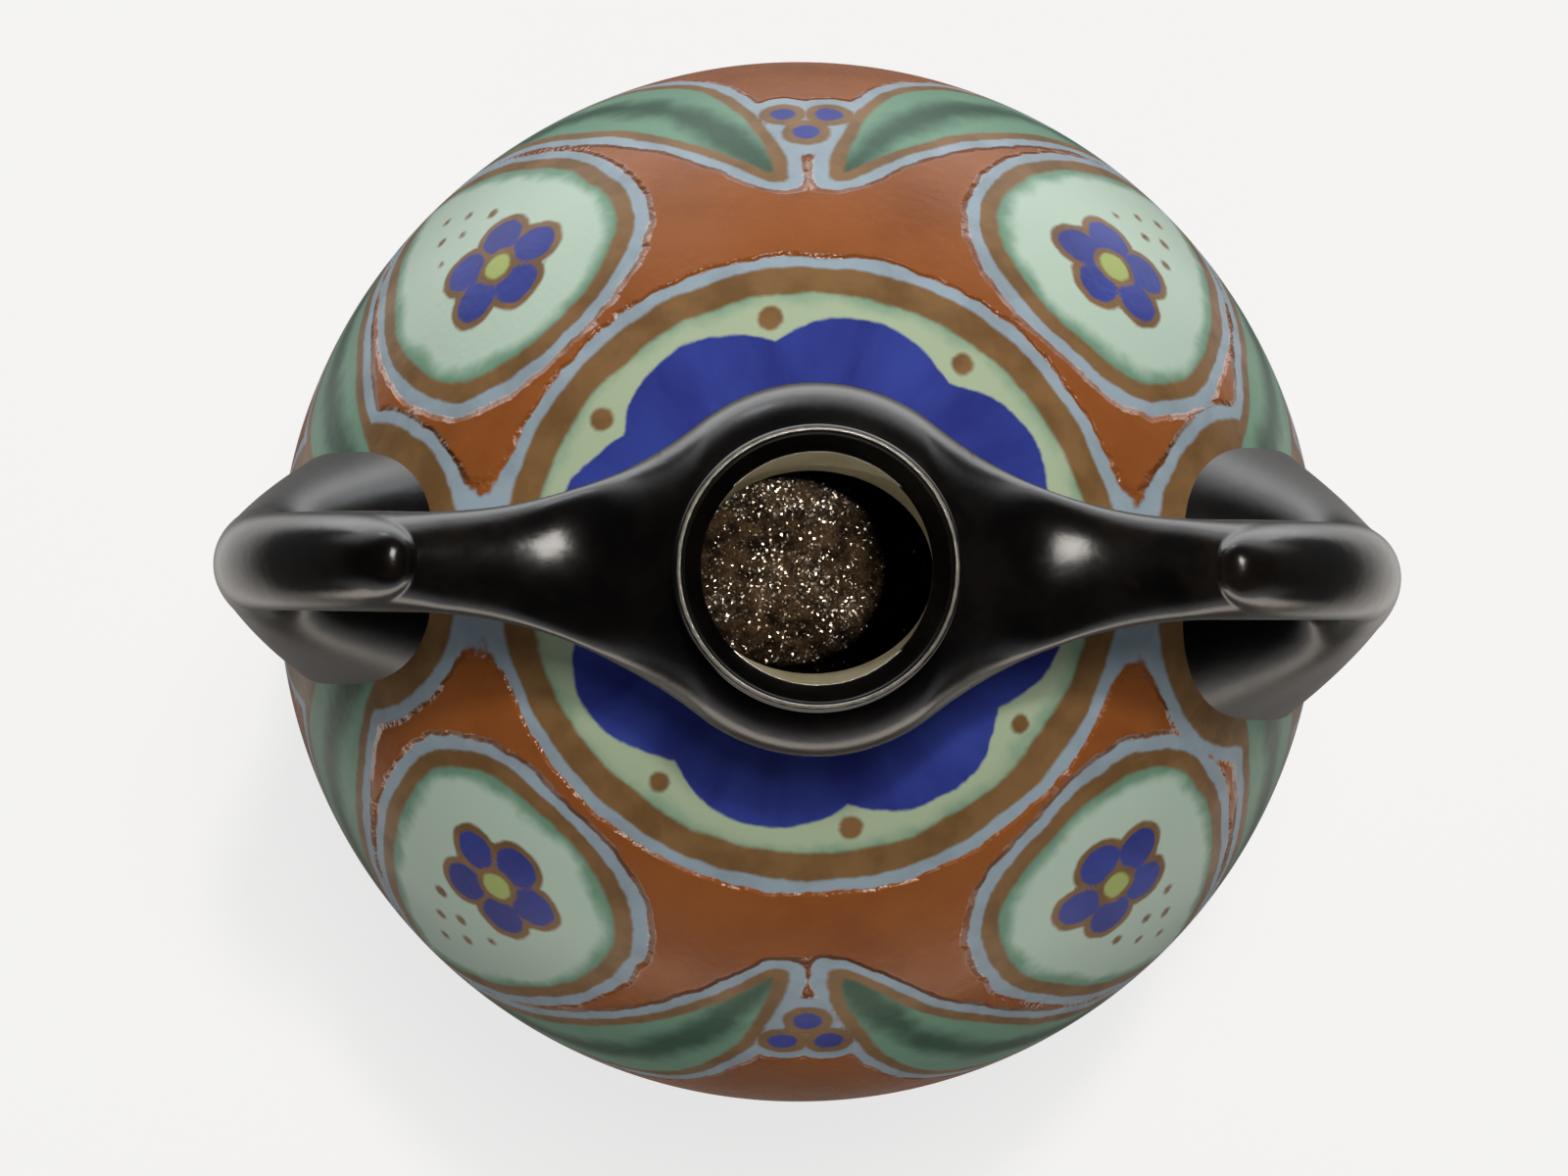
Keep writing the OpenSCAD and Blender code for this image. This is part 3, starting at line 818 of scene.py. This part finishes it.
neckPiece = addPiece("neckCollar", neckGrid(), ["neck"], black, wrapRows=True, flip=True)
neckPiece.data.materials.append(cream)
centres = np.empty(3 * len(neckPiece.data.polygons))
neckPiece.data.polygons.foreach_get("center", centres)
x, y, z = (centres[axis::3] / mm for axis in range(3))
margin = neck["margin"]
inThroat = (np.hypot(x, y) < collar["throatX"] + margin) & (z > seatZ + margin) & (z < collar["z"] - margin)
neckPiece.data.polygons.foreach_set("material_index", inThroat.astype(np.int32))

# Stage: pale floor, soft lights, camera almost straight above

camera = {"lens": 74.1, "sensor": 36, "near": 0.01, "place": (-0.0107, -0.0075, 0.512),
          "tilt": (0.01517, -0.02003, 0)}  # tilt in radians
paleFloor = {"half": 3, "tone": (0.86, 0.86, 0.86, 1), "glow": 0.75}  # glow: share seen as plain white
corners = [(x * paleFloor["half"], y * paleFloor["half"], 0) for x, y in ((-1, -1), (1, -1), (1, 1), (-1, 1))]
floorMesh = bpy.data.meshes.new("floor")
floorMesh.from_pydata(corners, [], [(0, 1, 2, 3)])
floor = bpy.data.objects.new("floor", floorMesh)
bpy.context.scene.collection.objects.link(floor)

# what the glaze mirrors, with places in metres: a painted glow on the floor, seen only in reflections, a pale
# strip that widens to the front and back, warmer in front and dark near the vase as a painted shadow, and a
# pale patch close to each handle
mirror = {"wedge": 0.75, "side": (0.02, 0.2), "dark": 0.03, "centre": (0, -0.1, 0), "near": (0.21, 0.46),
          "nearShare": 0.06, "turn": 0.3, "front": 3.6, "back": 3.8, "warm": (1, 0.9, 0.8, 1),
          "cool": (0.98, 0.99, 1, 1), "patchFrom": (0.09, 0.15), "patchTo": (0.2, 0.36),
          "patchWide": (0.06, 0.28), "patch": 1.0}


def floorMaterial():
    material, tree, shader = newMaterial("paleFloor", specular=0.1, roughness=0.9)
    shader.inputs["Base Color"].default_value = paleFloor["tone"]
    glow = addNode(tree, "ShaderNodeEmission", {"Color": (1, 1, 1, 1), "Strength": 1.0})
    path = addNode(tree, "ShaderNodeLightPath").outputs
    share = math2(tree, "MULTIPLY", path["Is Camera Ray"], paleFloor["glow"])
    seen = addNode(tree, "ShaderNodeMixShader", {0: share, 1: shader.outputs[0], 2: glow.outputs[0]})
    place = objectPlace(tree)
    parts = parted(tree, place)
    across, along = (math2(tree, "ABSOLUTE", parts[axis]) for axis in (0, 1))
    off = math2(tree, "SUBTRACT", across, math2(tree, "MULTIPLY", along, mirror["wedge"]))
    strip = ramp(tree, off, *mirror["side"], 1, mirror["dark"])
    # painted shadow: the mirrored glow is dimmed near the vase, where the floor would lie in shade
    near = addNode(tree, "ShaderNodeVectorMath", {0: place, 1: mirror["centre"]}, operation="DISTANCE")
    strip = math2(tree, "MULTIPLY", strip,
                  ramp(tree, near.outputs["Value"], *mirror["near"], mirror["nearShare"], 1))
    level = ramp(tree, parts[1], -mirror["turn"], mirror["turn"], mirror["front"], mirror["back"])
    patch = math2(tree, "MULTIPLY", ramp(tree, across, *mirror["patchFrom"]),
                  ramp(tree, across, *mirror["patchTo"], 1, 0))
    patch = math2(tree, "MULTIPLY", patch, ramp(tree, along, *mirror["patchWide"], mirror["patch"], 0))
    strength = math2(tree, "ADD", math2(tree, "MULTIPLY", strip, level), patch)
    toBack = ramp(tree, parts[1], -mirror["turn"], mirror["turn"])
    tint = mixColor(tree, toBack, mirror["warm"], mirror["cool"])
    mirrored = addNode(tree, "ShaderNodeEmission", {"Color": tint, "Strength": strength})
    inputs = {0: path["Is Glossy Ray"], 1: seen.outputs[0], 2: mirrored.outputs[0]}
    final = addNode(tree, "ShaderNodeMixShader", inputs)
    tree.links.new(final.outputs[0], tree.nodes["Material Output"].inputs["Surface"])
    return material


floorMesh.materials.append(floorMaterial())


def aim(name, data, place, target):
    light = bpy.data.objects.new(name, data)
    light.location = place
    light.rotation_euler = (Vector(target) - Vector(place)).to_track_quat("-Z", "Y").to_euler()
    bpy.context.scene.collection.objects.link(light)
    return light


def addLight(name, place, target, size, power, color, mirrored=True):
    data = bpy.data.lights.new(name, "AREA")
    data.shape = "RECTANGLE"
    data.size, data.size_y = size
    data.energy = power
    data.color = color
    aim(name, data, place, target).visible_glossy = mirrored


def addBeam(name, place, target, spread, blend, size, power, color):
    data = bpy.data.lights.new(name, "SPOT")
    data.spot_size, data.spot_blend = spread, blend
    data.shadow_soft_size = size
    data.energy = power
    data.color = color
    aim(name, data, place, target)


# light from all round: pale at the horizon, fading to dark between two heights, where 1 is straight up,
# and weaker to the sides and the front
horizon = {"height": (0.05, 0.5), "level": (1.8, 0.03), "side": (0.4, 0.9), "sideShare": 0.05,
           "front": 0.5, "back": 1.3}


def studioWorld():
    # pale at the horizon to the front and more so to the back, dark at the sides and overhead
    world = bpy.data.worlds.new("studio")
    world.use_nodes = True
    tree = world.node_tree
    way = addNode(tree, "ShaderNodeTexCoord").outputs["Generated"]
    parts = parted(tree, way)
    level = ramp(tree, parts[2], *horizon["height"], *horizon["level"])
    sides = ramp(tree, math2(tree, "ABSOLUTE", parts[1]), *horizon["side"], horizon["sideShare"], 1)
    back = ramp(tree, parts[1], -1, 1, horizon["front"], horizon["back"])
    strength = math2(tree, "MULTIPLY", level, math2(tree, "MULTIPLY", sides, back))
    tree.links.new(strength, tree.nodes["Background"].inputs["Strength"])
    tree.nodes["Background"].inputs["Color"].default_value = (1, 1, 1, 1)
    return world


lamp = {"target": (0, 0, 0.14), "color": (1.0, 0.96, 0.9)}
addLight("lamp", (0.12, 0.36, 1.49), size=(0.48, 0.38), power=8, **lamp)
# the fills leave no highlight
addLight("lampFill", (0.139, 0.536, 1.49), size=(0.12, 0.12), power=7.5, mirrored=False, **lamp)
addLight("frontFill", (-0.2, -0.9, 0.9), size=(0.5, 0.5), power=0.9, mirrored=False, **lamp)
addLight("window", (-0.36, 1.1, 0.34), target=(0, 0, 0.1), size=(0.25, 0.2), power=0.5,
         color=(0.78, 0.88, 1.0))
addBeam("insideLamp", (0.003, -0.009, 0.62), target=(-0.0013, 0.0039, 0.011), spread=0.05, blend=0.3,
        size=0.006, power=18, color=(1.0, 0.94, 0.84))
bpy.context.scene.world = studioWorld()

lens = bpy.data.cameras.new("camera")
lens.lens = camera["lens"]
lens.sensor_width = camera["sensor"]
lens.clip_start = camera["near"]
eye = bpy.data.objects.new("camera", lens)
eye.location = camera["place"]
eye.rotation_euler = camera["tilt"]
bpy.context.scene.collection.objects.link(eye)
bpy.context.scene.camera = eye
bpy.context.scene.view_settings.view_transform = "Standard"
print("stage set")
